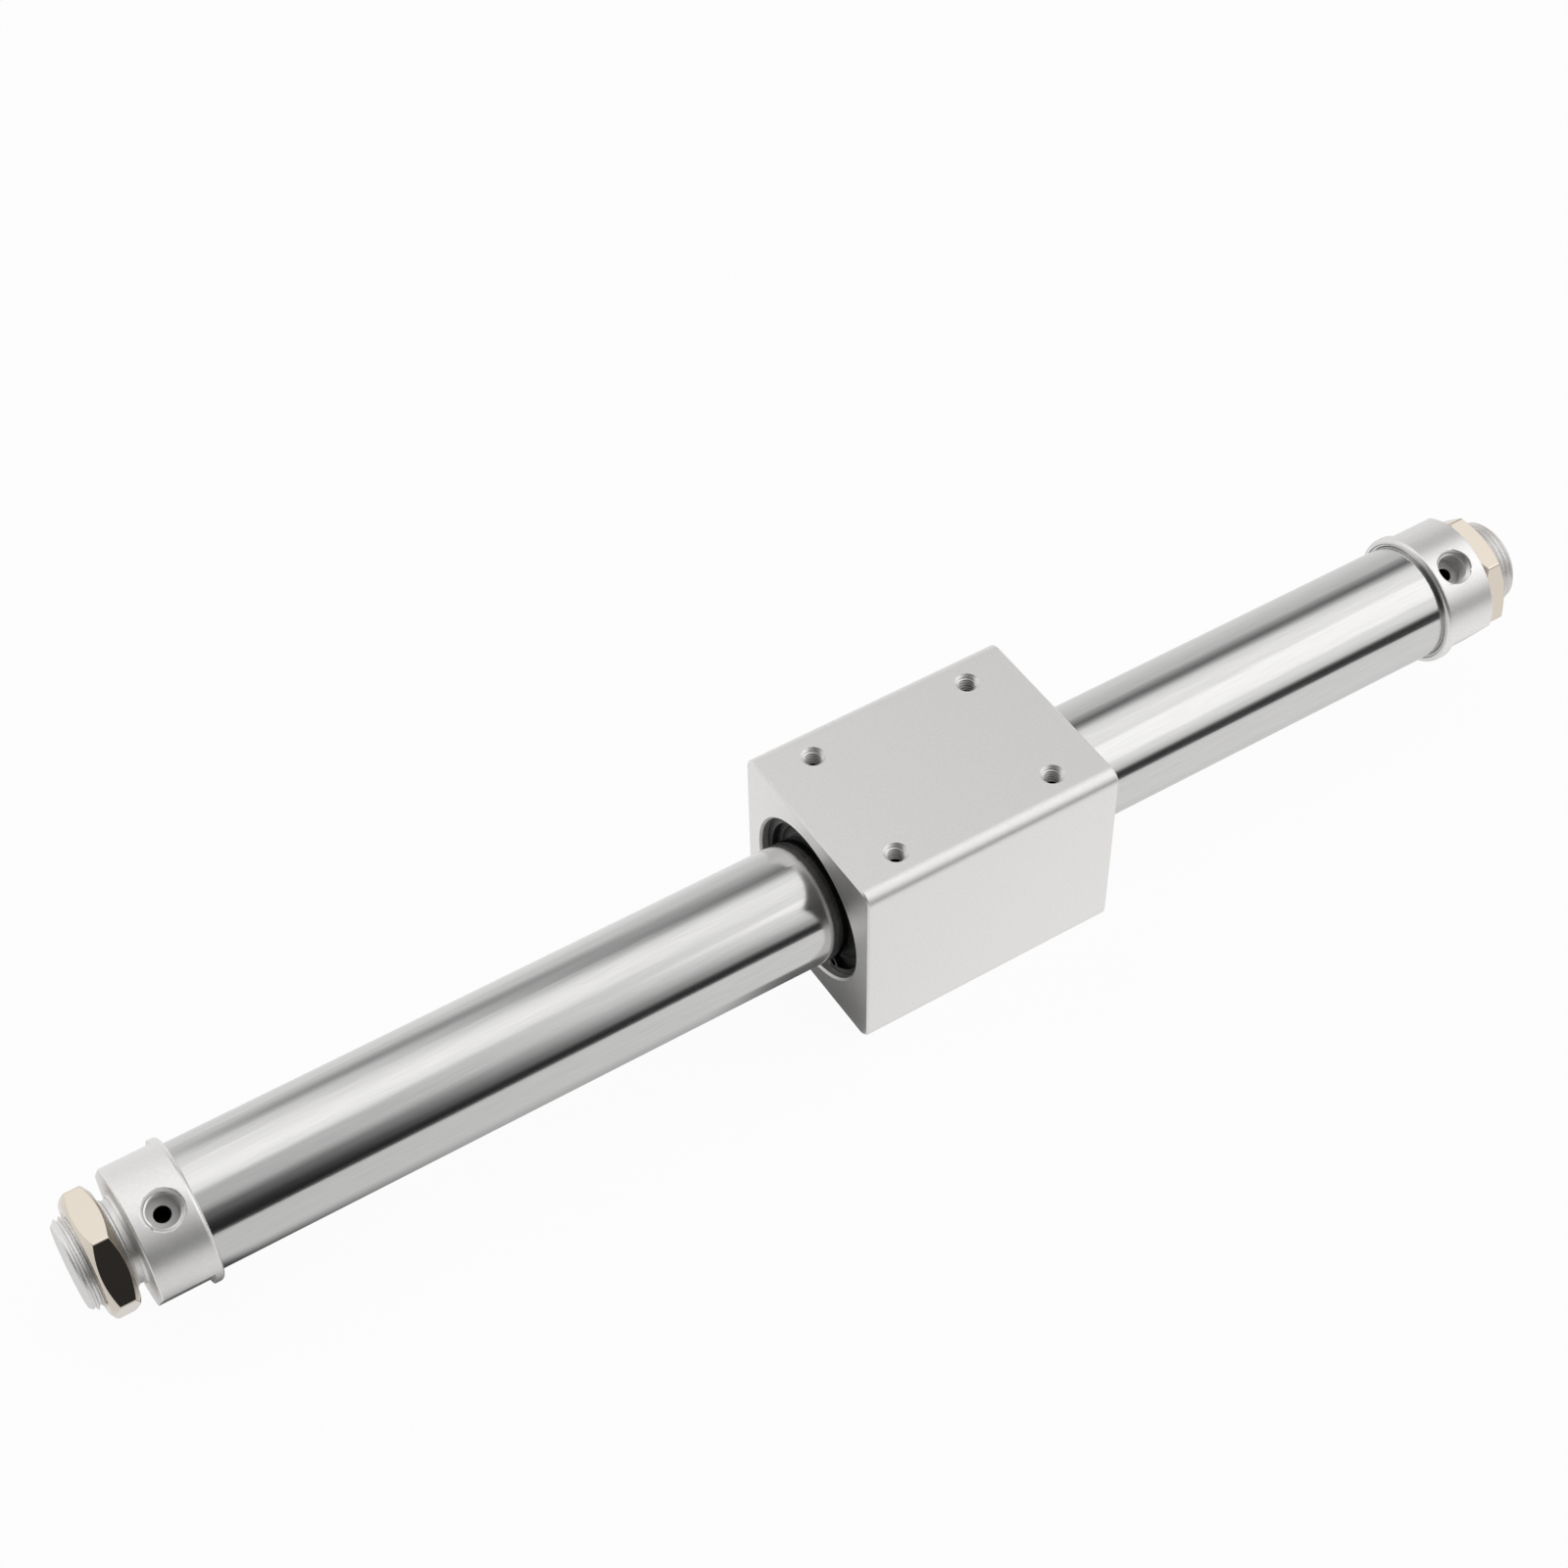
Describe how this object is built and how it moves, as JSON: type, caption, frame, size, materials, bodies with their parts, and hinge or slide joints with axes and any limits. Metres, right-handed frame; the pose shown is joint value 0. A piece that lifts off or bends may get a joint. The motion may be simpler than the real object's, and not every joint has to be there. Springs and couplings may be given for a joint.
{
  "type": "rodless pneumatic cylinder",
  "caption": "Magnetically coupled rodless air cylinder: a square carriage block slides on a round tube between two ported, threaded end covers.",
  "frame": {"origin": "on the tube's axis, midway between the two end covers", "axes": "+X along the tube towards the right-hand cover, +Z out of the carriage's top face"},
  "size_m": [0.4546, 0.06, 0.06],
  "materials": {
    "drawn_stainless": "polished drawn stainless steel tube",
    "cover_aluminium": "turned aluminium, clear anodised, satin",
    "block_aluminium": "machined aluminium, clear anodised, fine matt",
    "dark_ring_aluminium": "aluminium, black anodised",
    "piston_aluminium": "turned aluminium, chromated",
    "nut_passivated_steel": "carbon steel, nickel plated with a warm tone",
    "black_steel": "spring steel, black phosphate",
    "ring_steel": "bright stainless steel strip",
    "yoke_steel": "rolled steel, zinc plated",
    "bright_steel": "stainless steel, turned",
    "magnet_nickel": "rare earth magnet, nickel plated",
    "black_rubber": "nitrile rubber",
    "urethane": "urethane rubber",
    "wear_resin": "filled resin bearing strip",
    "oiled_felt": "felt soaked in oil"
  },
  "bodies": {
    "barrel": {"cylinder_tube": "drawn_stainless", "end_cover_left": "cover_aluminium", "end_cover_right": "cover_aluminium", "attachment_ring_left": "ring_steel", "attachment_ring_right": "ring_steel", "tube_snap_ring_left": "black_steel", "tube_snap_ring_right": "black_steel", "tube_gasket_left": "black_rubber", "tube_gasket_right": "black_rubber"},
    "piston": {"piston_shaft": "bright_steel", "piston_left": "piston_aluminium", "piston_right": "piston_aluminium", "piston_wear_ring_left": "wear_resin", "piston_wear_ring_right": "wear_resin", "piston_seal_left": "black_rubber", "piston_seal_right": "black_rubber", "piston_bumper_left": "urethane", "piston_bumper_right": "urethane", "piston_nut_left": "bright_steel", "piston_nut_right": "bright_steel", "inner_yoke_1": "yoke_steel", "inner_yoke_2": "yoke_steel", "inner_yoke_3": "yoke_steel", "inner_yoke_4": "yoke_steel", "inner_yoke_5": "yoke_steel", "inner_magnet_1": "magnet_nickel", "inner_magnet_2": "magnet_nickel", "inner_magnet_3": "magnet_nickel", "inner_magnet_4": "magnet_nickel"},
    "carriage": {"carriage_body": "block_aluminium", "slider_end_ring_left": "dark_ring_aluminium", "slider_end_ring_right": "dark_ring_aluminium", "slider_wear_ring_left": "wear_resin", "slider_wear_ring_right": "wear_resin", "lube_retainer_left": "oiled_felt", "lube_retainer_right": "oiled_felt", "scraper_left": "black_rubber", "scraper_right": "black_rubber", "circlip_left": "black_steel", "circlip_right": "black_steel", "outer_yoke_1": "yoke_steel", "outer_yoke_2": "yoke_steel", "outer_yoke_3": "yoke_steel", "outer_yoke_4": "yoke_steel", "outer_yoke_5": "yoke_steel", "outer_magnet_1": "magnet_nickel", "outer_magnet_2": "magnet_nickel", "outer_magnet_3": "magnet_nickel", "outer_magnet_4": "magnet_nickel"},
    "nut_left": {"mounting_nut_left": "nut_passivated_steel"},
    "nut_right": {"mounting_nut_right": "nut_passivated_steel"}
  },
  "joints": [
    {"name": "piston_slide", "type": "slide", "parent": "barrel", "child": "piston", "axis": [1, 0, 0], "range_m": [-0.1766, 0.1234]},
    {"name": "carriage_swivel", "type": "hinge", "parent": "piston", "child": "carriage", "pos_m": [0.0266, 0, 0], "axis": [1, 0, 0], "continuous": true},
    {"name": "nut_left_travel", "type": "slide", "parent": "barrel", "child": "nut_left", "axis": [-1, 0, 0], "range_m": [-0.0035, 0.0039]},
    {"name": "nut_right_travel", "type": "slide", "parent": "barrel", "child": "nut_right", "axis": [1, 0, 0], "range_m": [-0.0001, 0.0073]}
  ]
}
